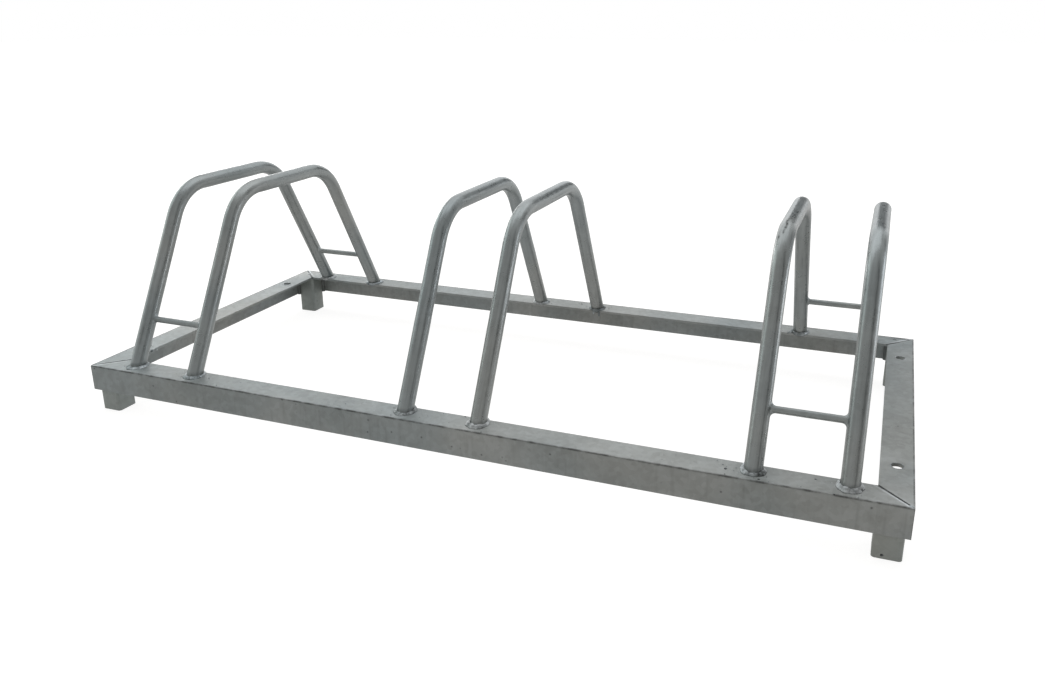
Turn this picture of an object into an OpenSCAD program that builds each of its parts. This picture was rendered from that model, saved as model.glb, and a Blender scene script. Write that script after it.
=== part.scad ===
// Floor bike rack with three bays, welded from angle iron, bent tube and round bar.
// Millimetres. The origin is on the ground under the middle of the rack, X runs along
// the rack, the bicycles come in along Y with the front at -Y, and +Z is up.

/* [Frame] */
// Length over the outer faces of the two end rails
frame_l = 1050; // [900:10:1500]
// Depth over the outer faces of the front and rear rails
frame_w = 500; // [440:10:640]
// Height of the top of the frame above the ground
frame_h = 65; // [55:1:90]
// Width of each leg of the angle iron
angle_leg = 35; // [34:1:42]
// Thickness of the angle iron
angle_t = 4; // [3:0.5:5]
// Rounding where the two legs of the angle iron meet inside
root_r = 5; // [3:0.5:6]
// Rounding on the inner corner of each toe of the angle iron
toe_r = 2.5; // [1:0.5:2.5]
// Width of the weld seam in each mitre, measured along the rail
seam_w = 1.2; // [0.6:0.1:2]
// Depth of the seam below the top of the frame
seam_drop = 0.6; // [0.2:0.1:1.5]

/* [Feet] */
// Outer width of the square tube of a foot
foot_w = 30; // [25:1:32]
// Wall of the square tube of a foot
foot_wall = 2; // [1.5:0.5:3]
// Outer corner radius of the square tube of a foot
foot_r = 4; // [3:0.5:6]
// Gap between a foot and the upright legs of the angle iron
foot_gap = 1; // [0.5:0.1:2]
// Size of the fillet weld that holds a foot to each rail
foot_weld_r = 4; // [3:0.5:6]

/* [Hoops] */
// Height of the top of the hoops above the ground
rack_h = 300; // [260:5:360]
// Outer diameter of the hoop tube
tube_d = 20; // [18:1:22]
// Wall of the hoop tube
tube_wall = 2; // [1:0.5:3]
// Length of the hoop's top between the points where its straight runs would meet
hoop_top_l = 208; // [180:2:240]
// Radius of the two bends, to the centre line of the tube
bend_r = 70; // [50:1:90]
// Distance from the cut end of a leg to the inner edge of the rail that it stands on
seat_margin = 1.1; // [0.8:0.1:4]
// Free width between the two hoops of a bay
bay_clear = 77; // [55:1:90]
// Distance from the end of the frame to the centre of the outermost hoop
end_inset = 61.5; // [50:0.5:80]
// Height of a weld bead round the foot of a leg
leg_bead = 4.5; // [3:0.5:5]
// Diameter of the vent hole in the rail under each leg
vent_d = 8; // [6:1:10]

/* [Rungs] */
// Diameter of the round bar that joins the two hoops of an end bay
rung_d = 8; // [6:1:10]
// Height of the centre of a rung above the top of the frame
rung_rise = 58; // [40:1:80]
// Size of the flared weld at each end of a rung
rung_bead = 5; // [3:0.5:5]

/* [Anchor holes] */
// Diameter of the four holes for floor anchors in the end rails
anchor_d = 13; // [9:0.5:14]
// Distance from the front or rear face of the frame to the nearest anchor hole
anchor_inset = 85; // [60:1:120]

/* [Hidden] */
$fn = 96;

// Overrun of every cut past the face that it leaves through
overrun = 2;
// Length of each straight run of a hoop that lies inside the bend next to it
bend_lap = 0.5;
// Thickness of the thin outer edge of a flared weld
flare_lip = 0.4;
rail_color = "#8b9090";
tube_color = "#7f8584";
bar_color = "#858a89";
weld_color = "#b2b7b8";

// The corners in the order front left, front right, rear right, rear left. Side k of the
// frame runs from corner k to the next one.
half_l = frame_l / 2;
half_w = frame_w / 2;
corners = [[-half_l, -half_w], [half_l, -half_w], [half_l, half_w], [-half_l, half_w]];

// Hoops from left to right: two for the left bay, two for the middle, two for the right.
tube_r = tube_d / 2;
hoop_pitch = bay_clear + tube_d;
outer_x = half_l - end_inset;
hoop_xs = [
  -outer_x, -outer_x + hoop_pitch, -hoop_pitch / 2,
  hoop_pitch / 2, outer_x - hoop_pitch, outer_x
];

// A bent tube is a little fatter in its bends than in its straight runs.
bend_swell = 0.015 * tube_r;

// A hoop's centre line in the YZ plane, with Z measured from the top of the frame. The end
// of a leaning tube, cut level, is longer than the tube is wide, and lean_run solves for it:
// lean_run = clear_run + tube_r / cos(lean), with tan(lean) = lean_run / rise.
rise = rack_h - frame_h - tube_r - bend_swell;
top_y = hoop_top_l / 2;
clear_run = half_w - angle_leg + seat_margin - top_y;
slimness = tube_r / rise;
lean_run = (clear_run + sqrt(pow(slimness * clear_run, 2) + (1 - pow(slimness, 2)) * pow(tube_r, 2)))
  / (1 - pow(slimness, 2));
seat_y = top_y + lean_run;
lean = atan2(lean_run, rise);
bend_turn = 90 - lean;
bend_run = bend_r * tan(bend_turn / 2);
leg_l = rise / cos(lean) - bend_run;
rung_r = rung_d / 2;
rung_y = seat_y - rung_rise * tan(lean);

// Feet and their welds, measured inward from the outer faces of a corner
foot_inset = angle_t + foot_gap;

// Frame of one side: X along the side, Y inward from its outer face, Z up from the top
// of the frame.
module on_side(k) {
  translate([corners[k].x, corners[k].y, frame_h]) rotate([0, 0, 90 * k]) children();
}

// Section of the angle iron, with its outer corner at the origin, its flange along X and
// its web down -Y.
module angle_section() {
  module toe_rounding() {
    translate([angle_leg - toe_r, -angle_t - overrun]) square([toe_r + overrun, toe_r + overrun]);
  }
  module toe_material() {
    translate([angle_leg - toe_r, -angle_t + toe_r]) circle(toe_r);
    translate([0, -angle_t - overrun]) square([angle_leg - toe_r, angle_t + overrun]);
  }
  module hollow() {
    difference() {
      translate([angle_t, -angle_leg - overrun])
        square([angle_leg - angle_t + overrun, angle_leg - angle_t + overrun]);
      difference() {
        translate([angle_t, -angle_t - root_r]) square(root_r);
        translate([angle_t + root_r, -angle_t - root_r]) circle(root_r);
      }
    }
  }
  difference() {
    translate([0, -angle_leg]) square(angle_leg);
    hollow();
    difference() {
      toe_rounding();
      toe_material();
    }
    mirror([1, 1, 0]) difference() {
      toe_rounding();
      toe_material();
    }
  }
}

// Angle iron of one side before its ends are mitred
module side_stock(length) {
  rotate([90, 0, 90]) linear_extrude(length) angle_section();
}

// Side k of the frame, mitred at both ends with half a seam's width left free
module side_rail(k, length) {
  half_seam = seam_w / 2;
  in_y = angle_leg + overrun;
  on_side(k) intersection() {
    side_stock(length);
    translate([0, 0, -angle_leg - overrun]) linear_extrude(angle_leg + 2 * overrun) polygon([
      [half_seam - overrun, -overrun],
      [length - half_seam + overrun, -overrun],
      [length - half_seam - in_y, in_y],
      [half_seam + in_y, in_y]
    ]);
  }
}

// Vent holes under the legs along the front (side -1) or the rear (side 1)
module vents(side) {
  for (x = hoop_xs)
    translate([x, side * seat_y, frame_h - angle_t - overrun])
      cylinder(d = vent_d, h = angle_t + 2 * overrun);
}

// Anchor holes through the flange of the left (side -1) or the right (side 1) rail
module anchor_holes(side) {
  for (end = [-1, 1])
    translate([
      side * (half_l - angle_leg / 2),
      end * (half_w - anchor_inset),
      frame_h - angle_t - overrun
    ]) cylinder(d = anchor_d, h = angle_t + 2 * overrun);
}

module front_rail() {
  color(rail_color) difference() {
    side_rail(0, frame_l);
    vents(-1);
  }
}

module right_rail() {
  color(rail_color) difference() {
    side_rail(1, frame_w);
    anchor_holes(1);
  }
}

module rear_rail() {
  color(rail_color) difference() {
    side_rail(2, frame_l);
    vents(1);
  }
}

module left_rail() {
  color(rail_color) difference() {
    side_rail(3, frame_w);
    anchor_holes(-1);
  }
}

// Seam that fills the mitre at corner k, left a little below the top of the frame
module corner_weld(k) {
  half_seam = seam_w / 2;
  in_y = angle_leg + overrun;
  color(weld_color) on_side(k) intersection() {
    side_stock(angle_leg);
    translate([0, 0, -angle_leg - overrun])
      linear_extrude(angle_leg + overrun - seam_drop) polygon([
        [0, -overrun],
        [half_seam, 0],
        [in_y + half_seam, in_y],
        [in_y - half_seam, in_y],
        [0, half_seam]
      ]);
  }
}

// Square of the foot's tube with round corners, its outer corner at the origin
module rounded_square(width, radius) {
  translate([radius, 0]) square([width - 2 * radius, width]);
  translate([0, radius]) square([width, width - 2 * radius]);
  for (x = [radius, width - radius], y = [radius, width - radius])
    translate([x, y]) circle(radius);
}

// Foot at corner k: an open square tube from the ground to the underside of the flanges,
// bevelled along two edges to clear the rounding inside the angle iron
module foot(k) {
  height = frame_h - angle_t;
  bevel = root_r + overrun;
  module root_bevel() {
    translate([-overrun, 0, height - root_r]) rotate([90, 0, 90])
      linear_extrude(foot_w + 2 * overrun)
        polygon([[-overrun, -overrun], [bevel, bevel], [-overrun, bevel]]);
  }
  color(rail_color) on_side(k) translate([foot_inset, foot_inset, -frame_h]) difference() {
    linear_extrude(height) rounded_square(foot_w, foot_r);
    translate([foot_wall, foot_wall, -overrun]) linear_extrude(height + 2 * overrun)
      rounded_square(foot_w - 2 * foot_wall, foot_r - foot_wall);
    root_bevel();
    mirror([1, -1, 0]) root_bevel();
  }
}

// Upright fillet welds at corner k, one between the foot and the web of each rail
module foot_weld(k) {
  foot_end = foot_inset + foot_w;
  height = angle_leg - angle_t - root_r;
  module fillet() {
    translate([0, 0, -angle_leg]) linear_extrude(height) difference() {
      intersection() {
        translate([foot_end, angle_t]) circle(foot_weld_r);
        translate([foot_end - foot_weld_r, angle_t])
          square([2 * foot_weld_r, foot_weld_r]);
      }
      translate([foot_inset, foot_inset]) rounded_square(foot_w, foot_r);
    }
  }
  color(weld_color) on_side(k) {
    fillet();
    mirror([1, -1, 0]) fillet();
  }
}

// Solid rod of radius r along the leg on one side (-1 front, 1 rear), run on below the
// frame by the tube's diameter
module leg_rod(side, r, length) {
  translate([0, side * seat_y, 0]) rotate([side * lean, 0, 0]) translate([0, 0, -tube_d])
    cylinder(r = r, h = length + tube_d);
}

// Solid rod of radius r along the whole hoop
module hoop_rod(r) {
  straight_y = top_y - bend_run;
  for (side = [-1, 1]) leg_rod(side, r, leg_l + bend_lap);
  for (side = [0, 1]) mirror([0, side, 0])
    translate([0, -straight_y, rise - bend_r]) rotate([90, 0, 90]) rotate([0, 0, 90])
      rotate_extrude(angle = bend_turn) translate([bend_r, 0]) circle(r + bend_swell);
  translate([0, -straight_y - bend_lap, rise]) rotate([-90, 0, 0])
    cylinder(r = r, h = 2 * (straight_y + bend_lap));
}

// Hoop number i: a bent tube, cut flush with the top of the frame
module hoop(i) {
  color(tube_color) translate([hoop_xs[i], 0, frame_h]) difference() {
    hoop_rod(tube_r);
    hoop_rod(tube_r - tube_wall);
    translate([-tube_d, -frame_w, -frame_w]) cube([2 * tube_d, 2 * frame_w, frame_w]);
  }
}

// Weld beads round both legs of hoop number i: half a ring that lies on the flange, cut
// off at the flange's inner edge
module hoop_welds(i) {
  reach = tube_d + leg_bead;
  ring_r = tube_r + leg_bead / 4;
  ring_shift = leg_bead * tan(lean) / 2;
  color(weld_color) translate([hoop_xs[i], 0, frame_h])
    for (side = [0, 1]) mirror([0, side, 0]) difference() {
      intersection() {
        translate([0, -seat_y + ring_shift, 0]) rotate_extrude() intersection() {
          translate([ring_r, 0]) circle(leg_bead);
          square([reach, reach]);
        }
        translate([-reach, -half_w, -overrun]) cube([2 * reach, angle_leg, reach]);
      }
      leg_rod(-1, tube_r, leg_l);
    }
}

// Rung between hoops i and i + 1 on one side (-1 front, 1 rear), with its ends shaped to
// the tubes
module rung(i, side) {
  color(bar_color) difference() {
    translate([hoop_xs[i], side * rung_y, frame_h + rung_rise]) rotate([0, 90, 0])
      cylinder(r = rung_r, h = hoop_pitch);
    for (j = [i, i + 1]) translate([hoop_xs[j], 0, frame_h]) leg_rod(side, tube_r, leg_l);
  }
}

// Flared welds at the two ends of a rung
module rung_welds(i, side) {
  flare_r = rung_r + rung_bead;
  flare_l = tube_r + rung_bead;
  module flare() {
    rotate_extrude() difference() {
      translate([rung_r, 0]) square([rung_bead, flare_l]);
      translate([flare_r + flare_lip, flare_l]) circle(rung_bead);
    }
  }
  color(weld_color) difference() {
    translate([0, side * rung_y, frame_h + rung_rise]) {
      translate([hoop_xs[i], 0, 0]) rotate([0, 90, 0]) flare();
      translate([hoop_xs[i + 1], 0, 0]) rotate([0, -90, 0]) flare();
    }
    for (j = [i, i + 1]) translate([hoop_xs[j], 0, frame_h]) leg_rod(side, tube_r, leg_l);
  }
}

front_rail();
right_rail();
rear_rail();
left_rail();
corner_weld(0);  // corner_weld_front_left
corner_weld(1);  // corner_weld_front_right
corner_weld(2);  // corner_weld_rear_right
corner_weld(3);  // corner_weld_rear_left
foot(0);  // foot_front_left
foot(1);  // foot_front_right
foot(2);  // foot_rear_right
foot(3);  // foot_rear_left
foot_weld(0);  // foot_weld_front_left
foot_weld(1);  // foot_weld_front_right
foot_weld(2);  // foot_weld_rear_right
foot_weld(3);  // foot_weld_rear_left
hoop(0);  // left_bay_hoop_outer
hoop(1);  // left_bay_hoop_inner
hoop(2);  // middle_bay_hoop_left
hoop(3);  // middle_bay_hoop_right
hoop(4);  // right_bay_hoop_inner
hoop(5);  // right_bay_hoop_outer
hoop_welds(0);  // left_bay_hoop_outer_welds
hoop_welds(1);  // left_bay_hoop_inner_welds
hoop_welds(2);  // middle_bay_hoop_left_welds
hoop_welds(3);  // middle_bay_hoop_right_welds
hoop_welds(4);  // right_bay_hoop_inner_welds
hoop_welds(5);  // right_bay_hoop_outer_welds
rung(0, -1);  // left_bay_front_rung
rung(0, 1);  // left_bay_rear_rung
rung(4, -1);  // right_bay_front_rung
rung(4, 1);  // right_bay_rear_rung
rung_welds(0, -1);  // left_bay_front_rung_welds
rung_welds(0, 1);  // left_bay_rear_rung_welds
rung_welds(4, -1);  // right_bay_front_rung_welds
rung_welds(4, 1);  // right_bay_rear_rung_welds
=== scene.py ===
"""Looks of the floor bike rack: hot-dip galvanised steel, welded from angle iron and tube."""
import math

import bmesh
import bpy
import numpy as np
from mathutils import Matrix


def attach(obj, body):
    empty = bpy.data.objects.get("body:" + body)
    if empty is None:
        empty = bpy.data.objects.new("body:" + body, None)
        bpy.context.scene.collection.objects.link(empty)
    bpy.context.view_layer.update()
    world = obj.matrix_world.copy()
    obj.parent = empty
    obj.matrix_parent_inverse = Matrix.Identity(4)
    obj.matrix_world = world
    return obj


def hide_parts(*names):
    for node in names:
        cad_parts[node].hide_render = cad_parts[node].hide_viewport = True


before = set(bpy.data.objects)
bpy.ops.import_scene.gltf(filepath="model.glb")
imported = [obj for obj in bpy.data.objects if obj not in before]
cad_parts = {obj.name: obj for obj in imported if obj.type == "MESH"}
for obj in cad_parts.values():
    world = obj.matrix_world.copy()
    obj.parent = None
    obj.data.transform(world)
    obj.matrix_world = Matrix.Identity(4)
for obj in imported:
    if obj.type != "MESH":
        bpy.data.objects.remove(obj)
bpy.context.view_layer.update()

# Sizes in millimetres, as in the part's source: X along the rack, Y to its rear, Z up.
# MM is a millimetre in metres, for what is given in metres.
MM = 0.001
FRAME_L, FRAME_W, FRAME_H, ANGLE_LEG = 1050.0, 500.0, 65.0, 35.0
RACK_H, TUBE_R, TUBE_WALL, BEND_R = 300.0, 10.0, 2.0, 70.0
HOLE_X, HOLE_Y, HOLE_R = 507.5, 165.0, 6.5
# How far from the middle the inner edges of the front and rear flanges are
FLANGE_EDGE = FRAME_W / 2 - ANGLE_LEG
# Where a hoop's legs would meet its top if it had no bends, and where its feet stand
TOP_Y, SEAT_Y = 104.0, 227.509
# How far a tube's skin may rise above the plain tube without passing the rack's height
SKIN_SWELL = 0.15
RISE = RACK_H - FRAME_H - TUBE_R - SKIN_SWELL
LEAN = math.atan2(SEAT_Y - TOP_Y, RISE)
RUNG_R, RUNG_RISE = 4.0, 58.0
RUNG_Z = FRAME_H + RUNG_RISE
RUNG_Y = SEAT_Y - RUNG_RISE * math.tan(LEAN)
HOOP_X = {
    "left_bay_hoop_outer": -463.5, "left_bay_hoop_inner": -366.5,
    "middle_bay_hoop_left": -48.5, "middle_bay_hoop_right": 48.5,
    "right_bay_hoop_inner": 366.5, "right_bay_hoop_outer": 463.5,
}

# The camera, fitted to the photograph: the picture's size, the focal length and the centre
# in pixels, the place in metres and the angles in radians
PHOTO_W, PHOTO_H = 1045, 692
FOCAL_PX, CENTRE_X_PX, CENTRE_Y_PX = 900.594, 543.577, 301.007
CAMERA_PLACE = (0.46750, -1.09340, 0.52707)
YAW, PITCH, ROLL = -0.3702, -0.3145, -0.0046
SENSOR_W, CLIP_END = 36.0, 60


def put(name, data):
    """A new object in the scene."""
    thing = bpy.data.objects.new(name, data)
    bpy.context.scene.collection.objects.link(thing)
    return thing


def pose(side, up, back, place):
    """A world matrix from three unit vectors and a place."""
    matrix = np.eye(4)
    matrix[:3] = np.stack([side, up, back, place], -1)
    return Matrix(matrix.tolist())


def place_camera():
    """A look a little down on the rack, from in front of its right end."""
    look = np.array([math.sin(YAW) * math.cos(PITCH), math.cos(YAW) * math.cos(PITCH),
                     math.sin(PITCH)])
    right = np.array([math.cos(YAW), -math.sin(YAW), 0.0])
    up = np.cross(right, look)
    right, up = (math.cos(ROLL) * right + math.sin(ROLL) * up,
                 math.cos(ROLL) * up - math.sin(ROLL) * right)
    lens = bpy.data.cameras.new("photo_camera")
    lens.sensor_width = SENSOR_W
    lens.lens = FOCAL_PX / PHOTO_W * SENSOR_W
    lens.shift_x = (PHOTO_W / 2 - CENTRE_X_PX) / PHOTO_W
    lens.shift_y = (CENTRE_Y_PX - PHOTO_H / 2) / PHOTO_W
    lens.clip_end = CLIP_END
    camera = put("photo_camera", lens)
    camera.matrix_world = pose(right, up, -look, CAMERA_PLACE)
    bpy.context.scene.camera = camera


place_camera()


# Shader nodes
VECTOR, COLOUR, FLOAT = "NodeSocketVector", "NodeSocketColor", "NodeSocketFloat"
WHITE = (1, 1, 1, 1)


class Nodes:
    """Builds the nodes of one shader tree. A value is a number, a colour or an output."""

    def __init__(self, tree):
        self.tree = tree

    def add(self, kind, **settings):
        """A new node of one kind, with its properties set."""
        node = self.tree.nodes.new(kind)
        for key, value in settings.items():
            setattr(node, key, value)
        return node

    def feed(self, value, socket):
        """Set an input to a number or a colour, or join it to an output."""
        if isinstance(value, (int, float, tuple)):
            socket.default_value = value
        else:
            self.tree.links.new(value, socket)

    def math(self, operation, *values, clamp=False):
        node = self.add("ShaderNodeMath", operation=operation, use_clamp=clamp)
        for value, socket in zip(values, node.inputs):
            self.feed(value, socket)
        return node.outputs[0]

    def plus(self, a, b):
        return self.math("ADD", a, b)

    def minus(self, a, b):
        return self.math("SUBTRACT", a, b)

    def times(self, a, b):
        return self.math("MULTIPLY", a, b)

    def times_plus(self, a, b, c):
        return self.math("MULTIPLY_ADD", a, b, c)

    def centred(self, value):
        """A value about 0.5, moved to lie about 0."""
        return self.minus(value, 0.5)

    def remap(self, value, before, after=(0.0, 1.0)):
        """Stretch a value from one range to another, and hold it at both ends."""
        node = self.add("ShaderNodeMapRange", clamp=True)
        for source, socket in zip((value, *before, *after), node.inputs):
            self.feed(source, socket)
        return node.outputs[0]

    def mix(self, share, a, b, blend="MIX"):
        """Colour a with a share of colour b over it."""
        node = self.add("ShaderNodeMix", data_type="RGBA", blend_type=blend, clamp_factor=True)
        for value, number in ((share, 0), (a, 6), (b, 7)):
            self.feed(value, node.inputs[number])
        return node.outputs[2]

    def scaled(self, where, scale):
        """Coordinates times three numbers."""
        node = self.add("ShaderNodeMapping", vector_type="POINT")
        self.feed(where, node.inputs["Vector"])
        self.feed(scale, node.inputs["Scale"])
        return node.outputs[0]

    def noise(self, where, scale, detail, rough):
        """Smooth noise about 0.5, in waves of about 1 / scale metres."""
        node = self.add("ShaderNodeTexNoise", noise_dimensions="3D")
        for label, value in (("Vector", where), ("Scale", scale), ("Detail", detail),
                             ("Roughness", rough)):
            self.feed(value, node.inputs[label])
        return node.outputs["Fac"]

    def cells(self, where, scale):
        """Cells about 1 / scale metres wide: how far off a cell's centre is, in cells, and
        two random values of the cell."""
        node = self.add("ShaderNodeTexVoronoi", voronoi_dimensions="3D", feature="F1")
        self.feed(where, node.inputs["Vector"])
        self.feed(scale, node.inputs["Scale"])
        drawn = self.add("ShaderNodeSeparateColor")
        self.feed(node.outputs["Color"], drawn.inputs[0])
        return node.outputs["Distance"], drawn.outputs[0], drawn.outputs[1]

    def seen(self, glossy):
        """1 where the camera looks, also through glass, and glossy for a reflection."""
        ray = self.add("ShaderNodeLightPath").outputs
        looked_at = self.math("MAXIMUM", ray["Is Camera Ray"], ray["Is Transmission Ray"])
        return self.math("MAXIMUM", looked_at, self.times(ray["Is Glossy Ray"], glossy))


def group(name, inputs, outputs):
    """An empty node group with inputs and outputs given as name: kind."""
    tree = bpy.data.node_groups.new(name, "ShaderNodeTree")
    for way, sockets in (("INPUT", inputs), ("OUTPUT", outputs)):
        for label, kind in sockets.items():
            tree.interface.new_socket(label, in_out=way, socket_type=kind)
    given, out = tree.nodes.new("NodeGroupInput"), tree.nodes.new("NodeGroupOutput")
    return Nodes(tree), given.outputs, out.inputs


# Tones on the zinc: two washes of colour, dross, dirt and painted shade, stains down the webs,
# ground welds
COOL_WASH, WARM_WASH = (0.955, 1.0, 1.015, 1), (1.015, 1.0, 0.97, 1)
DROSS = (0.06, 0.06, 0.06, 1)
# The dark tone for dirt, used for painted shade as well
DIRT_AND_SHADE_TONE = (0.045, 0.048, 0.045, 1)
RUN_STAIN = (0.16, 0.165, 0.15, 1)
GROUND_WELD = (0.74, 0.77, 0.78, 1)


def zinc_bloom_group():
    """The skin of hot-dipped zinc: broad clouds of tone, faint crystals a few millimetres
    wide, a fine grain and scattered specks of dross. Puts out the colour between two
    tones, the roughness and a height."""
    n, given, out = group(
        "zinc_bloom",
        {"Where": VECTOR, "Pale": COLOUR, "Dull": COLOUR, "Clouds": FLOAT, "Crystals": FLOAT,
         "Specks": FLOAT, "Rough": FLOAT},
        {"Color": COLOUR, "Roughness": FLOAT, "Height": FLOAT})
    where = given["Where"]
    broad = n.noise(where, scale=11, detail=4, rough=0.55)
    small = n.noise(where, scale=75, detail=3, rough=0.6)
    grain = n.noise(where, scale=700, detail=2, rough=0.5)
    _, facet_tone, facet_rough = n.cells(where, scale=190)
    clouds = n.times(n.centred(broad), 1.5)
    clouds = n.times_plus(n.centred(small), 0.7, clouds)
    clouds = n.times(clouds, given["Clouds"])
    facets = n.times(n.centred(facet_tone), given["Crystals"])
    share = n.math("ADD", n.plus(clouds, facets), 0.5, clamp=True)
    colour = n.mix(share, given["Dull"], given["Pale"])
    wash = n.remap(n.noise(where, scale=5.5, detail=2, rough=0.5), (0.38, 0.62))
    colour = n.mix(1.0, colour, n.mix(wash, COOL_WASH, WARM_WASH), "MULTIPLY")

    off_centre, _, pick = n.cells(where, scale=80)
    dot = n.remap(off_centre, (0.04, 0.14), (1.0, 0.0))
    dot = n.times(dot, n.remap(pick, (0.80, 0.92)))
    dot = n.times(dot, given["Specks"])
    n.feed(n.mix(n.times(dot, 0.55), colour, DROSS), out["Color"])

    rough = n.times_plus(n.centred(small), 0.22, given["Rough"])
    rough = n.times_plus(n.centred(facet_rough), 0.06, rough)
    n.feed(n.times_plus(dot, 0.2, rough), out["Roughness"])
    height = n.times_plus(small, 0.55, n.times(grain, 0.12))
    n.feed(n.times_plus(dot, 0.5, height), out["Height"])
    return n.tree


def frame_marks_group():
    """Marks of the frame's own making, found from the place on the rack. Dark: a thin
    ragged line of dross along the outer edge of the top, where the two legs of the angle
    iron meet, and a line along each mitre, wider towards the inside. Pale: the zone beside
    the mitre, on the end rail's side, where the weld was ground. Runs: faint stains
    straight down the webs. A point lies inside the frame's outline and below its top by
    so many metres, and across the mitre its distances to the two sides differ."""
    n, given, out = group("frame_marks", {"Where": VECTOR},
                          {"Dark": FLOAT, "Pale": FLOAT, "Runs": FLOAT})
    where = given["Where"]
    place = n.add("ShaderNodeSeparateXYZ")
    n.feed(where, place.inputs[0])
    inside_x = n.minus(FRAME_L / 2 * MM, n.math("ABSOLUTE", place.outputs[0]))
    inside_y = n.minus(FRAME_W / 2 * MM, n.math("ABSOLUTE", place.outputs[1]))
    inside = n.math("MINIMUM", inside_x, inside_y)
    below = n.minus(FRAME_H * MM, place.outputs[2])
    across = n.minus(inside_y, inside_x)
    off_mitre = n.math("ABSOLUTE", across)
    on_top = n.remap(below, (0.0003, 0.0008), (1.0, 0.0))
    fine = n.noise(where, scale=420, detail=3, rough=0.6)
    coarse = n.noise(where, scale=60, detail=3, rough=0.6)
    ragged = n.times_plus(fine, 0.0012, -0.0006)

    edge = n.plus(n.math("MAXIMUM", inside, below), ragged)
    edge = n.remap(edge, (0.0010, 0.0024), (1.0, 0.0))
    edge = n.times(edge, n.remap(coarse, (0.36, 0.60), (0.15, 1.0)))
    width = n.times_plus(inside, 0.030, 0.0014)
    line = n.math("DIVIDE", n.plus(off_mitre, ragged), width)
    line = n.remap(line, (0.75, 1.35), (1.0, 0.0))
    line = n.times(line, n.remap(inside, (0.0015, 0.0045)))
    line = n.times(n.times(line, on_top), n.remap(coarse, (0.34, 0.50), (0.55, 1.0)))
    n.feed(n.math("MAXIMUM", n.times(edge, 0.8), line), out["Dark"])

    ground = n.remap(n.times_plus(coarse, 0.006, off_mitre), (0.0065, 0.0100), (1.0, 0.0))
    outer = n.remap(inside, (0.008, 0.032), (1.0, 0.25))
    end_side = n.remap(across, (-0.0005, 0.0005), (1.0, 0.2))
    n.feed(n.times(n.times(ground, outer), n.times(end_side, on_top)), out["Pale"])

    runs = n.noise(n.scaled(where, (1.0, 1.0, 0.07)), scale=120, detail=3, rough=0.6)
    n.feed(n.times(n.remap(runs, (0.54, 0.72)), n.remap(below, (0.002, 0.008))), out["Runs"])
    return n.tree


ZINC_BLOOM = zinc_bloom_group()
FRAME_MARKS = frame_marks_group()


def shade_of(colour, share):
    """A colour times a share, as dense as before."""
    return tuple(share * c for c in colour[:3]) + (1,)


def zinc_material(name, pale, dull, rough, metal, clouds=1.0, crystals=0.3, specks=1.0,
                  bump=0.25, along_tube=False, marks=False, fineness=1.0):
    """Galvanised steel: the zinc bloom on Object coordinates, on a tube with faint streaks
    along it, laid by its own UV map; its lighter streaks are partly painted sheen. A
    per-point attribute of the piece darkens it where zinc dross and soil gather and where
    shade is painted on, marks adds those of the frame, and fineness makes the whole bloom
    smaller."""
    material = bpy.data.materials.new(name)
    material.use_nodes = True
    n = Nodes(material.node_tree)
    place = n.add("ShaderNodeTexCoord").outputs["Object"]
    bloom = n.add("ShaderNodeGroup", node_tree=ZINC_BLOOM)
    for label, value in (("Where", n.scaled(place, (fineness, fineness, fineness))),
                         ("Pale", pale), ("Dull", dull), ("Clouds", clouds),
                         ("Crystals", crystals), ("Specks", specks), ("Rough", rough)):
        n.feed(value, bloom.inputs[label])
    colour, height = bloom.outputs["Color"], bloom.outputs["Height"]
    if along_tube:
        along = n.scaled(n.add("ShaderNodeUVMap", uv_map="tube_map").outputs[0], (1.0, 0.06, 1.0))
        streak = n.noise(along, scale=260, detail=3, rough=0.55)
        dark = n.times(n.remap(streak, (0.35, 0.7)), 0.32)
        colour = n.mix(dark, colour, shade_of(dull, 0.66))
        # Lighter streaks: partly zinc runs, partly painted sheen standing in for highlight lines
        # reflected along the tube
        light = n.remap(n.noise(along, scale=95, detail=2, rough=0.5), (0.52, 0.72), (0.0, 0.35))
        colour = n.mix(light, colour, shade_of(pale, 1.25))
        height = n.times_plus(streak, 0.25, height)
    grime_and_shade = n.add("ShaderNodeAttribute", attribute_type="GEOMETRY", attribute_name="grime_and_shade")
    ragged = n.remap(n.noise(place, scale=160, detail=3, rough=0.6), (0.35, 0.62), (0.35, 1.0))
    darkening = n.times(grime_and_shade.outputs["Fac"], ragged)
    if marks:
        made = n.add("ShaderNodeGroup", node_tree=FRAME_MARKS)
        n.feed(place, made.inputs["Where"])
        colour = n.mix(n.times(made.outputs["Runs"], 0.28), colour, RUN_STAIN)
        colour = n.mix(n.times(made.outputs["Pale"], 0.9), colour, GROUND_WELD)
        darkening = n.math("MAXIMUM", darkening, n.times(made.outputs["Dark"], 0.85))
    dent = n.add("ShaderNodeBump")
    n.feed(bump, dent.inputs["Strength"])
    n.feed(1.2 * MM, dent.inputs["Distance"])
    n.feed(height, dent.inputs["Height"])
    steel = n.tree.nodes["Principled BSDF"].inputs
    # Darkened where dross and dirt gather, and where shade is painted on through the attribute
    n.feed(n.mix(darkening, colour, DIRT_AND_SHADE_TONE), steel["Base Color"])
    n.feed(n.times_plus(darkening, 0.25, bloom.outputs["Roughness"]), steel["Roughness"])
    n.feed(metal, steel["Metallic"])
    n.feed(dent.outputs[0], steel["Normal"])
    return material


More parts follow.
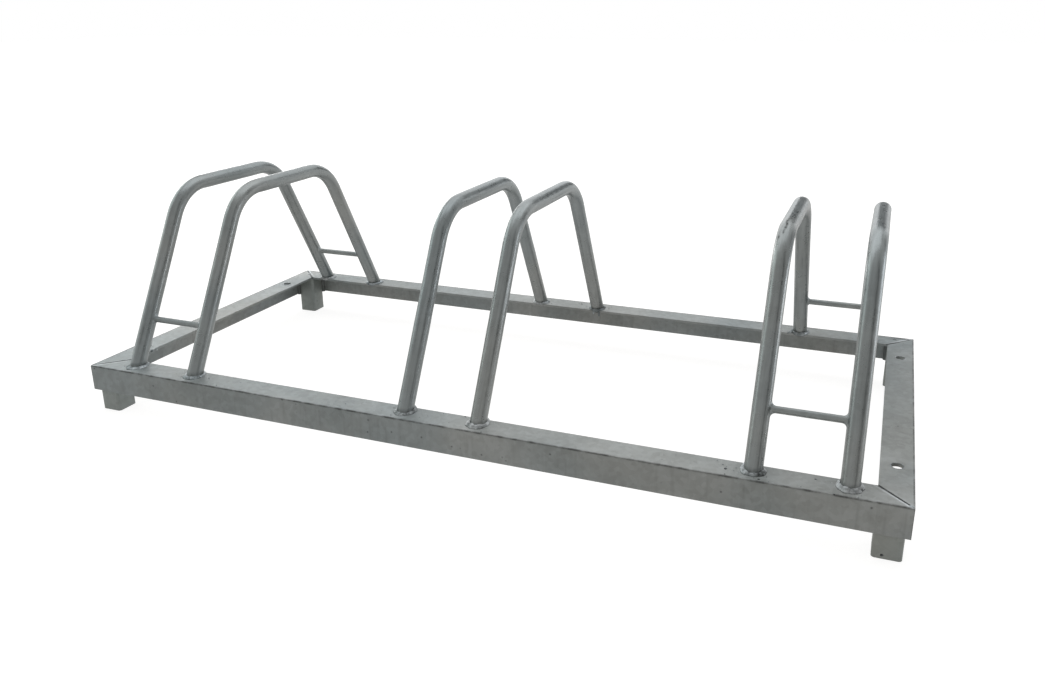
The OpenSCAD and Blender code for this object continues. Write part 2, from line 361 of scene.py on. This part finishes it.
ANGLE_ZINC = zinc_material(
    "galvanised_angle", pale=(0.43, 0.45, 0.45, 1), dull=(0.265, 0.275, 0.265, 1), rough=0.50,
    metal=0.45, marks=True)
FOOT_ZINC = zinc_material(
    "galvanised_foot", pale=(0.46, 0.48, 0.46, 1), dull=(0.31, 0.325, 0.305, 1), rough=0.52,
    metal=0.35)
TUBE_ZINC = zinc_material(
    "galvanised_tube", pale=(0.392, 0.414, 0.413, 1), dull=(0.247, 0.26, 0.256, 1), rough=0.31,
    metal=0.65, clouds=0.9, crystals=0.12, specks=0.4, bump=0.11, along_tube=True)
BAR_ZINC = zinc_material(
    "galvanised_bar", pale=(0.40, 0.42, 0.415, 1), dull=(0.27, 0.285, 0.28, 1), rough=0.45,
    metal=0.5, specks=0.5, bump=0.2)
WELD_ZINC = zinc_material(
    "galvanised_weld", pale=(0.60, 0.63, 0.65, 1), dull=(0.20, 0.215, 0.215, 1), rough=0.41,
    metal=0.5, clouds=2.2, crystals=0.5, specks=1.2, bump=0.45, fineness=2.2)
FLARE_ZINC = zinc_material(
    "galvanised_flare", pale=(0.48, 0.505, 0.51, 1), dull=(0.29, 0.31, 0.31, 1), rough=0.40,
    metal=0.5, clouds=1.3, specks=0.8, bump=0.4)
# A zinc painted almost black: dark seams at the corners, and painted shade on the welds at the
# feet, so that they sit dark like the shade round them
SEAM_AND_SHADE_ZINC = zinc_material(
    "galvanised_seam_and_painted_shade", pale=(0.22, 0.23, 0.225, 1), dull=(0.09, 0.095, 0.09, 1), rough=0.55,
    metal=0.3)


# Meshes, in millimetres. Seeds make every run give the same shapes.
def wander(points, wave, seed):
    """Smooth noise, mostly between -1 and 1: the mean of seven sine waves of about one
    wavelength, each running in a random direction with a random phase, times 1.8."""
    count = 7
    rng = np.random.default_rng(seed)
    lanes = rng.normal(size=(count, 3))
    stretch = 2 * math.pi / wave * rng.uniform(0.6, 1.5, (count, 1))
    lanes *= stretch / np.linalg.norm(lanes, axis=1, keepdims=True)
    phase = rng.uniform(0, 2 * math.pi, count)
    return np.sin(points @ lanes.T + phase).mean(-1) * 1.8


def turns(count):
    """Equal angles, once round."""
    return np.linspace(0, 2 * math.pi, count, endpoint=False)


def circle(angles, radius):
    """Points at the angles on a flat circle, to take noise from that closes on itself."""
    return np.stack([np.cos(angles), np.sin(angles), np.zeros(len(angles))], -1) * radius


def angle_gap(angles, where):
    """How far the angles lie from another, the short way round."""
    return (angles - where + math.pi) % (2 * math.pi) - math.pi


def grid_faces(rows, cols, wrap_rows, wrap_cols, start=0):
    """Quads between neighbouring points of a grid of rows by cols points."""
    r = np.arange(rows if wrap_rows else rows - 1)
    c = np.arange(cols if wrap_cols else cols - 1)
    r, c = np.meshgrid(r, c, indexing="ij")
    r2, c2 = (r + 1) % rows, (c + 1) % cols
    quads = np.stack([r * cols + c, r2 * cols + c, r2 * cols + c2, r * cols + c2], -1)
    return quads.reshape(-1, 4) + start


def faces_out(points, quads):
    """Whether the quads of a closed mesh face outwards, so that its volume is positive."""
    p = points[quads]
    return sum((p[:, 0] * np.cross(p[:, k], p[:, k + 1])).sum() for k in (1, 2)) > 0


def steel_piece(name, points, quads, material, grime_and_shade=None, tube_map=None, hides=()):
    """A smooth mesh piece from points and quads, fixed to the rack."""
    mesh = bpy.data.meshes.new(name)
    mesh.vertices.add(len(points))
    mesh.vertices.foreach_set("co", (np.asarray(points, np.float32) * MM).ravel())
    quads = np.asarray(quads, np.int32)
    mesh.loops.add(quads.size)
    mesh.loops.foreach_set("vertex_index", quads.ravel())
    mesh.polygons.add(len(quads))
    mesh.polygons.foreach_set("loop_start", np.arange(0, quads.size, 4, dtype=np.int32))
    mesh.update(calc_edges=True)
    mesh.validate()
    mesh.polygons.foreach_set("use_smooth", np.ones(len(mesh.polygons), bool))
    if tube_map is not None:
        layer = mesh.uv_layers.new(name="tube_map")
        layer.data.foreach_set("uv", np.asarray(tube_map, np.float32)[quads.ravel()].ravel())
    # Per point: how dark dirt and painted shade make it
    grime_and_shade = np.zeros(len(points)) if grime_and_shade is None else grime_and_shade
    darkening = mesh.attributes.new("grime_and_shade", "FLOAT", "POINT")
    darkening.data.foreach_set("value", grime_and_shade.astype(np.float32))
    mesh.materials.append(material)
    piece = put(name, mesh)
    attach(piece, "root")
    if hides:
        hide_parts(*hides)


# Hoops: rings along a leg, a bend and half the top, points round the tube, and how far up
# from the frame the rings turn from level to square with the leg
LEG_RINGS, BEND_RINGS, HALF_TOP_RINGS, TUBE_POINTS = 84, 64, 23, 72
LEVEL_FADE = 60.0


def hoop_line():
    """Centre line of a hoop in the YZ plane from the front flange up, over and down to
    the rear: straight leg, arc of BEND_R, straight top, arc, leg. Gives the points, the
    directions and how far each lies from the start."""
    turn = math.pi / 2 - LEAN
    run = BEND_R * math.tan(turn / 2)
    flat = TOP_Y - run
    top_z = FRAME_H + RISE
    up = np.array([math.sin(LEAN), math.cos(LEAN)])
    s = np.linspace(0, RISE / math.cos(LEAN) - run, LEG_RINGS, endpoint=False)
    leg = np.array([-SEAT_Y, FRAME_H]) + s[:, None] * up
    heading = LEAN + np.linspace(0, turn, BEND_RINGS, endpoint=False)
    arc = BEND_R * np.stack([-np.cos(heading), np.sin(heading)], -1) + [-flat, top_z - BEND_R]
    y = np.linspace(-flat, 0, HALF_TOP_RINGS)
    points = np.vstack([leg, arc, np.stack([y, np.full(len(y), top_z)], -1)])
    aims = np.vstack([np.repeat(up[None], LEG_RINGS, 0),
                      np.stack([np.sin(heading), np.cos(heading)], -1),
                      np.repeat([[1.0, 0.0]], len(y), 0)])
    points = np.vstack([points, points[::-1][1:] * [-1, 1]])
    aims = np.vstack([aims, aims[::-1][1:] * [1, -1]])
    steps = np.linalg.norm(np.diff(points, axis=0), axis=1)
    return points, aims, np.concatenate([[0], np.cumsum(steps)])


def tube_skin(line, aims, x, radius):
    """Rings round the line and their normals: for the angle t, radius * (cos t across the
    hoop, sin t away from its inside). At both ends the rings slide along the leg to end
    level with the frame's top, fading out over LEVEL_FADE."""
    t = turns(TUBE_POINTS)
    outward = np.stack([-aims[:, 1], aims[:, 0]], -1)
    normals = np.empty((len(line), TUBE_POINTS, 3))
    normals[..., 0] = np.cos(t)
    normals[..., 1:] = np.sin(t)[None, :, None] * outward[:, None, :]
    rings = radius * normals
    rings[..., 0] += x
    rings[..., 1:] += line[:, None, :]
    level, steep = line[:, 1:], aims[:, 1:]
    fade = np.clip(1 - (level - FRAME_H) / LEVEL_FADE, 0, 1)
    slide = (level - rings[..., 2]) / np.where(np.abs(steep) < 0.05, 0.05, steep) * fade
    rings[..., 1:] += slide[..., None] * aims[:, None, :]
    return rings, normals


def soft_patch(far, place, angle, length, width):
    """A patch on a tube that is 1 in its middle and fades out, length along the tube and
    width round it."""
    round_it = angle_gap(turns(TUBE_POINTS), angle) * TUBE_R / width
    return np.exp(-((far - place) / length)[:, None] ** 2 - round_it[None, :] ** 2)


def make_hoop(name, x, seed, extra=()):
    """Bent tube with its bore: the outer skin, raised a little by runs of zinc along the
    tube and lowered by a slight flattening in the bends, and the plain skin of the bore.
    Dark marks (how far along, angle, length, width, depth) are soft dark spots, some by
    chance and some given as extra, and soil gathers just above the weld beads."""
    line, aims, far = hoop_line()
    rings, normals = tube_skin(line, aims, x, TUBE_R)
    t, whole = turns(TUBE_POINTS), far[-1]
    from_end = np.minimum(far, whole - far)
    heading = np.arctan2(aims[:, 0], np.abs(aims[:, 1]) + 1e-9)
    bend = np.clip(np.abs(np.gradient(heading, far)) * BEND_R, 0, 1)
    bend = np.convolve(bend, np.ones(9) / 9, "same")
    lift = bend[:, None] * (0.14 * np.cos(t) ** 2 - 0.22 * np.sin(t) ** 2)
    lift = lift + 0.045 * wander(rings, 34, seed) + 0.02 * wander(rings, 9, seed + 1)
    rng = np.random.default_rng(seed)
    grime_and_shade = 0.70 * np.exp(-(np.clip(from_end - 3.6, 0, None) / 2.2) ** 2)[:, None]
    stains = [(rng.uniform(0.04, 0.96) * whole, rng.uniform(0, 2 * math.pi), rng.uniform(12, 45),
               rng.uniform(0.9, 2.2), rng.uniform(0.2, 0.5)) for _ in range(10)]
    for *spot, depth in stains + list(extra):
        grime_and_shade = grime_and_shade + depth * soft_patch(far, *spot)
    for _ in range(7):
        spot = (rng.uniform(0.06, 0.94) * whole, rng.uniform(0, 2 * math.pi),
                rng.uniform(9, 26), rng.uniform(0.9, 1.6))
        lift = lift + rng.uniform(0.12, 0.28) * soft_patch(far, *spot)
    lift = lift * np.clip(from_end / 12.0, 0, 1)[:, None]
    rings = rings + lift[..., None] * normals
    kept = np.unique([*range(0, len(line), 3), len(line) - 1])
    bore, _ = tube_skin(line[kept], aims[kept], x, TUBE_R - TUBE_WALL)

    n, m, around = len(rings), len(bore), TUBE_POINTS
    c = np.arange(around)
    c2 = (c + 1) % around
    end, first, last = (n - 1) * around, n * around, (n + m - 1) * around
    quads = np.vstack([grid_faces(n, around, False, True),
                       grid_faces(m, around, False, True, first)[:, ::-1],
                       np.stack([c, c2, first + c2, first + c], -1),
                       np.stack([end + c, last + c, last + c2, end + c2], -1)])
    points = np.vstack([rings.reshape(-1, 3), bore.reshape(-1, 3)])
    round_it = np.tile(t * TUBE_R, n + m)
    along = np.repeat(np.concatenate([far, np.linspace(0, whole, m)]), around)
    grime_and_shade = np.concatenate([np.clip(grime_and_shade, 0, 1).ravel(), np.zeros(m * around)])
    steel_piece(name + "_tube", points, quads, TUBE_ZINC, grime_and_shade=grime_and_shade,
                tube_map=np.stack([round_it, along], -1) * MM, hides=(name,))


# Welds: how wide a plain bead and a plain flare are
BEAD_SIZE, FLARE_SIZE = 4.3, 5.0


def ring_piece(name, rings, material, hides=()):
    """A piece of rings that close both ways. Each is a grid of points [around, section,
    xyz] and how dark each point is made, by soil and by painted shade, None for clean, and is
    turned round if it faces inwards."""
    points, quads, darkening = [], [], []
    for number, (grid, grime_and_shade) in enumerate(rings):
        around, section = grid.shape[:2]
        grime_and_shade = np.zeros((around, section)) if grime_and_shade is None else grime_and_shade
        if not faces_out(grid.reshape(-1, 3), grid_faces(around, section, True, True)):
            grid, grime_and_shade = grid[:, ::-1], grime_and_shade[:, ::-1]
        points.append(grid.reshape(-1, 3))
        quads.append(grid_faces(around, section, True, True, number * around * section))
        darkening.append(grime_and_shade.ravel())
    steel_piece(name, np.vstack(points), np.vstack(quads), material,
                grime_and_shade=np.concatenate(darkening), hides=hides)


def leg_bead(x, side, seed, width, rise, shade):
    """Fillet bead round the foot of a leg on one side (-1 front, 1 rear). For the angle a
    round the leg, its toe on the flange lies on the tube's cut end pushed out by the
    bead's width, its toe on the tube a little up the leaning wall, and the section
    between them bulges out. Width and height change with a: five to seven puddles that
    stand out as lobes, each a little different, with faint ripples across and lumps of
    zinc on top. Where the flange ends, the bead rolls over its inner edge. The second
    array is how dark each point is made: soil in both toes and in a few hollows between
    the puddles, and, as strong as shade, painted shade on the front right."""
    around, face, front_right = 160, 13, 5.65
    a = turns(around)
    ring = circle(a, 14)
    rng = np.random.default_rng(seed)
    lobes = rng.integers(5, 8)
    beat = lobes * a / 2 + rng.uniform(0, 6) + 1.3 * wander(ring, 30, seed + 1)
    lobe = np.abs(np.cos(beat))
    hollow = 1 - lobe ** 0.35
    size = BEAD_SIZE * width * (0.82 + 0.20 * lobe + 0.26 * wander(ring, 30, seed)
                                + 0.07 * wander(ring, 9, seed + 3))
    ripple = np.abs(np.sin(11 * a + rng.uniform(0, 6) + wander(ring, 20, seed + 4)))
    patch = np.clip(wander(ring, 16, seed + 6), 0, 1)
    # Painted shade: a darker patch on the front right of the bead, as strong as shade
    painted_shade = shade * np.exp(-(angle_gap(a, front_right) / 0.65) ** 2)
    foot_x = TUBE_R * np.cos(a)
    foot_y = TUBE_R / math.cos(LEAN) * np.sin(a)
    lean = -side * math.tan(LEAN)
    columns, grime_and_shade = [], []
    for f in np.linspace(0, 1, face):
        spread, middle = 1 - f, math.sin(math.pi * f)
        bulge = 0.20 * middle
        lump = middle * (0.42 * wander(ring + [0, 0, 5 * f], 8, seed + 5) + 0.10 * ripple)
        reach = size * (spread * (1 - 0.16 * middle) + bulge * 0.6) + 0.6 * lump
        height = rise * (size * (f * 0.84 + bulge * (0.5 + 0.7 * lobe)) + lump * 0.8)
        height = np.clip(height, 0, None)
        px = x + foot_x + np.cos(a) * reach
        py = side * SEAT_Y + foot_y + lean * height + np.sin(a) * reach
        beyond = np.clip(FLANGE_EDGE - side * py, 0, None)
        py = py + side * np.clip(beyond - 0.9, 0, None)
        drop = np.clip(beyond * 1.1, 0, 3.4) * spread
        columns.append(np.stack([px, py, FRAME_H + height - drop], -1))
        toe = 0.75 * max(1 - f / 0.12, 0) + max((f - 0.84) / 0.16, 0)
        # How dark: soil in the toes, the hollows and random patches, plus the painted shade on
        # the front right
        darkening = toe + 0.6 * hollow * (0.3 + 0.7 * middle) + 0.45 * patch + painted_shade
        grime_and_shade.append(np.clip(darkening, 0, 1))
    for share, z in ((0.96, 3.0), (0.72, 1.0), (0.72, -1.2)):
        columns.append(np.stack([x + foot_x * share,
                                 side * SEAT_Y + foot_y * share + lean * max(z, 0),
                                 np.full(around, FRAME_H + z)], -1))
        grime_and_shade.append(np.ones(around))
    return np.stack(columns, 1), np.stack(grime_and_shade, 1)


def rung_flare(hoop_x, way, side, seed):
    """Flared weld at one end of a rung: for the angle a round the rung, a hollow quarter
    circle from the tube's wall to the rung, its root laid on the tube. The flare's size
    changes slowly with a. way is +1 where the rung leaves the hoop towards +X."""
    around, face = 72, 11
    a = turns(around)
    ring = circle(a, 8)
    size = FLARE_SIZE * (1 + 0.13 * wander(ring, 16, seed) + 0.05 * wander(ring, 5, seed + 2))
    across = np.cos(a) * math.cos(LEAN) + np.sin(a) * side * math.sin(LEAN)

    def wall(r):
        """How far the tube's wall is from the hoop's middle plane, r off the rung's axis."""
        return np.sqrt(np.clip(TUBE_R ** 2 - (r * across) ** 2, 0.5, None))

    def loop(x, r):
        """A ring round the rung, x off the hoop's middle plane and r off the axis."""
        return np.stack([hoop_x + way * x, side * RUNG_Y + r * np.cos(a),
                         RUNG_Z + r * np.sin(a)], -1)

    root = RUNG_R + size
    start = wall(root)
    columns = []
    for q in np.linspace(0, math.pi / 2, face):
        r = root - size * math.sin(q)
        columns.append(loop(np.maximum(start + size * (1 - math.cos(q)), wall(r) - 0.15), r))
    buried = RUNG_R - 0.8
    columns += [loop(start + size - 0.8, buried), loop(wall(buried) - 1.6, buried)]
    return np.stack(columns, 1), None


def make_rung(name, x_a, x_b, side, seed):
    """Round bar between two hoops, with closed ends that stop at the tubes' walls."""
    around, along = 36, 60
    a = turns(around)
    off = RUNG_R * (np.cos(a) * math.cos(LEAN) + side * np.sin(a) * math.sin(LEAN))
    wall = np.sqrt(TUBE_R ** 2 - off ** 2)
    x = np.linspace(x_a + wall, x_b - wall, along)
    rings = np.stack([x, np.broadcast_to(side * RUNG_Y + RUNG_R * np.cos(a), x.shape),
                      np.broadcast_to(RUNG_Z + RUNG_R * np.sin(a), x.shape)], -1)
    push = 0.05 * wander(rings, 22, seed) + 0.03 * wander(rings, 6, seed + 1)
    rings[..., 1] += push * np.cos(a)
    rings[..., 2] += push * np.sin(a)
    shrink = np.array([0.55, 0.12])[:, None, None]
    axis_a, axis_b = (np.array([end, side * RUNG_Y, RUNG_Z])
                      for end in (x_a + TUBE_R, x_b - TUBE_R))
    rings = np.concatenate([axis_a + (rings[0] - axis_a) * shrink[::-1], rings,
                            axis_b + (rings[-1] - axis_b) * shrink])
    points = np.vstack([rings.reshape(-1, 3), axis_a, axis_b])
    tip_a, last = len(points) - 2, (len(rings) - 1) * around
    pair = np.arange(0, around, 2)
    after = (pair + 2) % around
    tips = np.full(len(pair), tip_a)
    quads = np.vstack([grid_faces(len(rings), around, False, True),
                       np.stack([tips, after, pair + 1, pair], -1),
                       np.stack([tips + 1, last + pair, last + pair + 1, last + after], -1)])
    if not faces_out(points, quads):
        quads = quads[:, ::-1]
    steel_piece(name + "_bar", points, quads, BAR_ZINC, hides=(name,))


# Rails and feet
def is_mitred(normal):
    """Whether a face stands upright at 45 degrees to the rails."""
    return (abs(abs(normal.x) - abs(normal.y)) < 0.05 and abs(normal.z) < 0.05
            and abs(normal.x) > 0.5)


def softened_copy(node, name, width, material, seam_width=None):
    """A copy of a CAD node, merged into whole flat faces, with its sharp edges rounded by
    the given width in millimetres, less along the mitres."""
    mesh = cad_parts[node].data.copy()
    mesh.name = name
    work = bmesh.new()
    work.from_mesh(mesh)
    bmesh.ops.remove_doubles(work, verts=work.verts, dist=2e-6)
    bmesh.ops.dissolve_limit(work, angle_limit=math.radians(1.0), verts=work.verts,
                             edges=work.edges)
    layers = work.edges.layers.float
    weight = layers.get("bevel_weight_edge") or layers.new("bevel_weight_edge")
    for edge in work.edges:
        if len(edge.link_faces) == 2 and edge.calc_face_angle(0) > math.radians(35):
            seam = seam_width is not None and any(is_mitred(f.normal) for f in edge.link_faces)
            edge[weight] = seam_width / width if seam else 1.0
    for face in work.faces:
        face.smooth = True
    work.to_mesh(mesh)
    work.free()
    mesh.materials.clear()
    mesh.materials.append(material)
    piece = put(name, mesh)
    round_off = piece.modifiers.new("rounded_edges", "BEVEL")
    round_off.limit_method = "WEIGHT"
    round_off.width = width * MM
    round_off.segments = 3
    even = piece.modifiers.new("flat_faces", "WEIGHTED_NORMAL")
    even.keep_sharp = True
    even.weight = 80
    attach(piece, "root")
    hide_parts(node)


# Lumps of zinc seen on the rails: centre, half sizes and dirt
LUMPS = [
    (-490.0, -174.0, 63.5, 2.2, 3.0, 2.4, 0.0), (-490.5, -181.0, 62.8, 1.7, 2.0, 1.9, 0.9),
    (-489.8, -166.0, 62.5, 1.2, 1.8, 1.6, 0.0), (354.0, 217.5, 65.0, 3.4, 3.0, 2.6, 0.0),
    (356.5, 215.4, 66.2, 1.6, 1.2, 1.4, 1.0), (350.5, 216.5, 64.0, 2.0, 1.8, 2.0, 0.0),
    (55.0, 215.2, 60.0, 1.6, 1.0, 5.5, 0.2), (45.6, 215.0, 61.5, 1.3, 1.0, 3.6, 0.0),
    (338.8, -234.5, 65.0, 1.6, 2.1, 0.5, 1.0), (374.8, -245.3, 65.0, 1.5, 1.2, 0.5, 1.0),
    (429.8, -224.5, 65.0, 1.4, 1.4, 0.5, 0.9), (449.9, -249.2, 64.6, 1.8, 0.9, 0.8, 1.0),
    (473.8, -249.6, 64.4, 1.2, 0.8, 0.8, 1.0), (500.5, -245.0, 4.2, 1.7, 0.5, 1.5, 1.0),
    (-508.0, 231.5, 65.0, 2.4, 7.0, 0.5, 0.0), (521.5, -246.5, 64.9, 2.6, 2.0, 0.5, 0.0),
    (506.0, 246.2, 65.0, 13.0, 1.7, 0.5, 1.0), (498.0, 239.0, 65.0, 6.0, 1.2, 0.4, 1.0),
]


def spatter(count, seed):
    """Small grains thrown by welding, strewn over the tops of the rails round the legs'
    feet: at a random leg, a random direction and a distance that falls off."""
    rng = np.random.default_rng(seed)
    legs = [(x, side * SEAT_Y) for x in HOOP_X.values() for side in (-1, 1)]
    inner, outer, end = FLANGE_EDGE + 1, FRAME_W / 2 - 1.5, FRAME_L / 2 - 3
    grains = []
    while len(grains) < count:
        leg_x, leg_y = legs[rng.integers(len(legs))]
        far, turn = 17 + rng.exponential(16), rng.uniform(0, 2 * math.pi)
        x, y = leg_x + far * math.cos(turn), leg_y + far * math.sin(turn)
        if inner < abs(y) < outer and abs(x) < end:
            r = rng.uniform(0.35, 0.95)
            grains.append((x, y, FRAME_H, r, r * rng.uniform(0.8, 1.2), r * 0.7,
                           float(rng.uniform() < 0.25)))
    return grains


def make_lumps(name, lumps, material):
    """Closed balls: for the heights h and the angles a, centre + half sizes *
    (sin h cos a, sin h sin a, -cos h)."""
    rows, around, pole = 9, 14, 0.004
    h = np.linspace(pole, math.pi - pole, rows)[:, None]
    a = turns(around)[None, :]
    ball = np.stack([np.sin(h) * np.cos(a), np.sin(h) * np.sin(a), -np.cos(h) * np.ones_like(a)],
                    -1).reshape(-1, 3)
    lumps = np.asarray(lumps)
    points = lumps[:, None, :3] + lumps[:, None, 3:6] * ball[None]
    points = points + 0.10 * wander(points, 3.5, seed=77)[..., None] * ball[None]
    quads = [grid_faces(rows, around, False, True, k * rows * around)[:, ::-1]
             for k in range(len(lumps))]
    steel_piece(name, points.reshape(-1, 3), np.vstack(quads), material,
                grime_and_shade=np.repeat(lumps[:, 6], rows * around))


def hole_rims():
    """A thin roll of zinc round the top of each bolt hole: a ring a little wider than the
    hole, whose thickness changes slowly on the way round."""
    a, b = turns(72), turns(10)
    rings = []
    for number, (sx, sy) in enumerate([(sx, sy) for sx in (-1, 1) for sy in (-1, 1)]):
        thick = 0.55 * (1 + 0.35 * wander(circle(a, HOLE_R), 12, 500 + number))[:, None]
        r = HOLE_R + 0.25 + thick * np.cos(b)
        rings.append((np.stack([sx * HOLE_X + r * np.cos(a)[:, None],
                                sy * HOLE_Y + r * np.sin(a)[:, None],
                                FRAME_H + 0.8 * thick * np.sin(b)], -1), None))
    ring_piece("hole_rims", rings, WELD_ZINC)


# Dark marks seen on the hoops: a row of small dark spots in a bend of one, and a narrow dark
# line along a leg of three others: how far along from the front foot, angle, length, width, depth
HOOP_DARK_MARKS = {
    "right_bay_hoop_inner": (
        (287.0, 1.60, 4.5, 0.9, 2.0), (279.5, 1.70, 4.2, 1.0, 2.0), (272.0, 1.58, 3.8, 0.9, 2.0),
        (265.5, 1.68, 3.2, 1.1, 2.0), (259.5, 1.78, 2.8, 1.0, 2.0), (252.0, 2.27, 2.5, 1.3, 1.2)),
    "middle_bay_hoop_left": ((120.0, 0.4, 60.0, 1.2, 0.5),),
    "middle_bay_hoop_right": ((90.0, 0.5, 50.0, 1.2, 0.5),),
    "right_bay_hoop_outer": ((110.0, 1.0, 70.0, 1.4, 0.45),),
}

# How wide and how high a bead is against a plain one, and how strong the painted shade on
# its front right is: the six in front, and those at the rear
FRONT_BEADS = {
    "left_bay_hoop_outer": (1.1, 0.55, 0.0), "left_bay_hoop_inner": (1.05, 0.6, 0.1),
    "middle_bay_hoop_left": (0.95, 0.85, 0.4), "middle_bay_hoop_right": (0.95, 0.85, 0.4),
    "right_bay_hoop_inner": (1.0, 0.8, 0.7), "right_bay_hoop_outer": (1.15, 1.0, 0.7),
}
REAR_BEAD = (1.0, 0.8, 0.0)

# How round the edges are, in millimetres: of the rails, of their mitres and of the feet
RAIL_ROUND, MITRE_ROUND, FOOT_ROUND = 0.9, 0.15, 0.4

for rail in ("front_rail", "right_rail", "rear_rail", "left_rail"):
    softened_copy(rail, rail + "_iron", RAIL_ROUND, ANGLE_ZINC,
                  seam_width=MITRE_ROUND)
for corner in ("front_left", "front_right", "rear_right", "rear_left"):
    softened_copy("foot_" + corner, "foot_" + corner + "_tube", FOOT_ROUND, FOOT_ZINC)
    # The corner welds take the almost black zinc as dark seams, the foot welds as painted shade
    for weld in ("corner_weld_", "foot_weld_"):
        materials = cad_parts[weld + corner].data.materials
        materials.clear()
        materials.append(SEAM_AND_SHADE_ZINC)

for number, (hoop, hoop_x) in enumerate(HOOP_X.items()):
    make_hoop(hoop, hoop_x, seed=11 + 7 * number, extra=HOOP_DARK_MARKS.get(hoop, ()))
    front = leg_bead(hoop_x, -1, 100 + 10 * number, *FRONT_BEADS[hoop])
    rear = leg_bead(hoop_x, 1, 101 + 10 * number, *REAR_BEAD)
    ring_piece(hoop + "_beads", [front, rear], WELD_ZINC, hides=(hoop + "_welds",))

for number, (bay, left, right) in enumerate((
        ("left_bay", "left_bay_hoop_outer", "left_bay_hoop_inner"),
        ("right_bay", "right_bay_hoop_inner", "right_bay_hoop_outer"))):
    for side, word, seed in ((-1, "front", 300 + 20 * number), (1, "rear", 305 + 20 * number)):
        rung = f"{bay}_{word}_rung"
        make_rung(rung, HOOP_X[left], HOOP_X[right], side, seed)
        flares = [rung_flare(HOOP_X[left], 1, side, seed + 1),
                  rung_flare(HOOP_X[right], -1, side, seed + 2)]
        ring_piece(rung + "_flares", flares, FLARE_ZINC, hides=(rung + "_welds",))

make_lumps("zinc_lumps", LUMPS + spatter(count=120, seed=8), WELD_ZINC)
hole_rims()


# The studio, in metres
def make_floor():
    """A plain pale floor: it keeps the rack's shadow, and is lifted to white where the
    camera, a reflection or a view through glass sees it, more so further off."""
    material = bpy.data.materials.new("studio_floor")
    material.use_nodes = True
    n = Nodes(material.node_tree)
    n.tree.nodes.clear()
    matt, glow, both, out = (n.add("ShaderNode" + kind) for kind in (
        "BsdfDiffuse", "Emission", "AddShader", "OutputMaterial"))
    n.feed((0.34, 0.325, 0.31, 1), matt.inputs["Color"])
    n.feed(WHITE, glow.inputs["Color"])
    far = n.add("ShaderNodeVectorMath", operation="LENGTH")
    n.feed(n.add("ShaderNodeTexCoord").outputs["Object"], far.inputs[0])
    lift = n.remap(far.outputs["Value"], (0.9, 2.6), (0.86, 1.1))
    n.feed(n.times(n.seen(glossy=0.60), lift), glow.inputs["Strength"])
    n.feed(matt.outputs[0], both.inputs[0])
    n.feed(glow.outputs[0], both.inputs[1])
    n.feed(both.outputs[0], out.inputs["Surface"])
    mesh = bpy.data.meshes.new("studio_floor")
    r = 14.0
    mesh.from_pydata([(-r, -r, 0), (r, -r, 0), (r, r, 0), (-r, r, 0)], [], [(0, 1, 2, 3)])
    mesh.materials.append(material)
    floor = put("studio_floor", mesh)


def make_world():
    """White where the camera looks past the floor, softer as a light on the rack."""
    world = bpy.data.worlds.new("studio_air")
    bpy.context.scene.world = world
    world.use_nodes = True
    n = Nodes(world.node_tree)
    background = n.tree.nodes["Background"].inputs
    n.feed(n.remap(n.seen(glossy=0.256), (0.0, 1.0), (0.403, 1.0)), background["Strength"])
    n.feed(WHITE, background["Color"])


def facing(place, target):
    """Unit vectors to the side, up and back of a thing at place that faces target."""
    back = np.subtract(place, target) / np.linalg.norm(np.subtract(place, target))
    side = np.cross([0, 0, 1.0], back)
    side /= np.linalg.norm(side)
    return side, np.cross(back, side), back


def make_lamp(name, place, target, size, watts, colour=(1, 1, 1)):
    """A soft rectangular lamp at place, facing target."""
    lamp = bpy.data.lights.new(name, "AREA")
    lamp.shape = "RECTANGLE"
    lamp.size, lamp.size_y = size
    lamp.energy = watts
    lamp.color = colour
    holder = put(name, lamp)
    holder.visible_camera = False
    holder.matrix_world = pose(*facing(place, target), place)


def make_flag(name, place, target, width, height):
    """A black card that shows only in reflections. The one beside the camera gives the
    tubes a dark line along them, the one behind the rack keeps the tops of the right
    hoops dark, and the one at the right rear the right sides of their bends."""
    material = bpy.data.materials.new(name)
    material.use_nodes = True
    shader = material.node_tree.nodes["Principled BSDF"]
    shader.inputs["Base Color"].default_value = (0.01, 0.01, 0.01, 1)
    shader.inputs["Roughness"].default_value = 1.0
    side, up, _ = facing(place, target)
    corners = [np.array(place) + a * side * width / 2 + b * up * height / 2
               for a, b in ((-1, -1), (1, -1), (1, 1), (-1, 1))]
    mesh = bpy.data.meshes.new(name)
    mesh.from_pydata([corner.tolist() for corner in corners], [], [(0, 1, 2, 3)])
    mesh.materials.append(material)
    card = put(name, mesh)
    card.visible_camera = False
    card.visible_shadow = False
    card.visible_diffuse = False


make_floor()
make_world()
make_flag("black_flag", (1.77, -0.94, 1.3), (0, 0, 0.2), width=0.55, height=2.2)
make_flag("rear_flag", (0.65, 3.0, 1.15), (0.45, 0, 0.3), width=1.5, height=1.2)
make_flag("right_flag", (2.2, 1.45, 1.25), (0.2, 0, 0.25), width=0.6, height=1.1)
make_lamp("left_softbox", (-3.2, 0.2, 1.5), (0, 0, 0.2), size=(2.8, 2.4), watts=22,
          colour=(0.90, 1.01, 0.995))
make_lamp("overhead_softbox", (-0.3, 0.9, 2.6), (0, 0, 0), size=(3.4, 2.2), watts=24.5,
          colour=(0.95, 0.985, 1.025))
make_lamp("rear_softbox", (0, 3.0, 2.0), (0, 0, 0.2), size=(5.0, 2.0), watts=16,
          colour=(0.96, 0.985, 1.02))
make_lamp("rear_low_softbox", (0, 3.5, 0.8), (0, 0, 0.2), size=(5.0, 1.2), watts=11,
          colour=(0.98, 0.99, 1.01))
make_lamp("left_low_softbox", (-2.25, 1.85, 0.5), (0, 0, 0.1), size=(1.2, 0.9), watts=9)
make_lamp("right_strip", (1.95, 0.65, 0.4), (0, 0, 0.15), size=(0.8, 0.8), watts=4.8,
          colour=(0.965, 0.975, 1.04))

bpy.context.scene.view_settings.view_transform = "Standard"
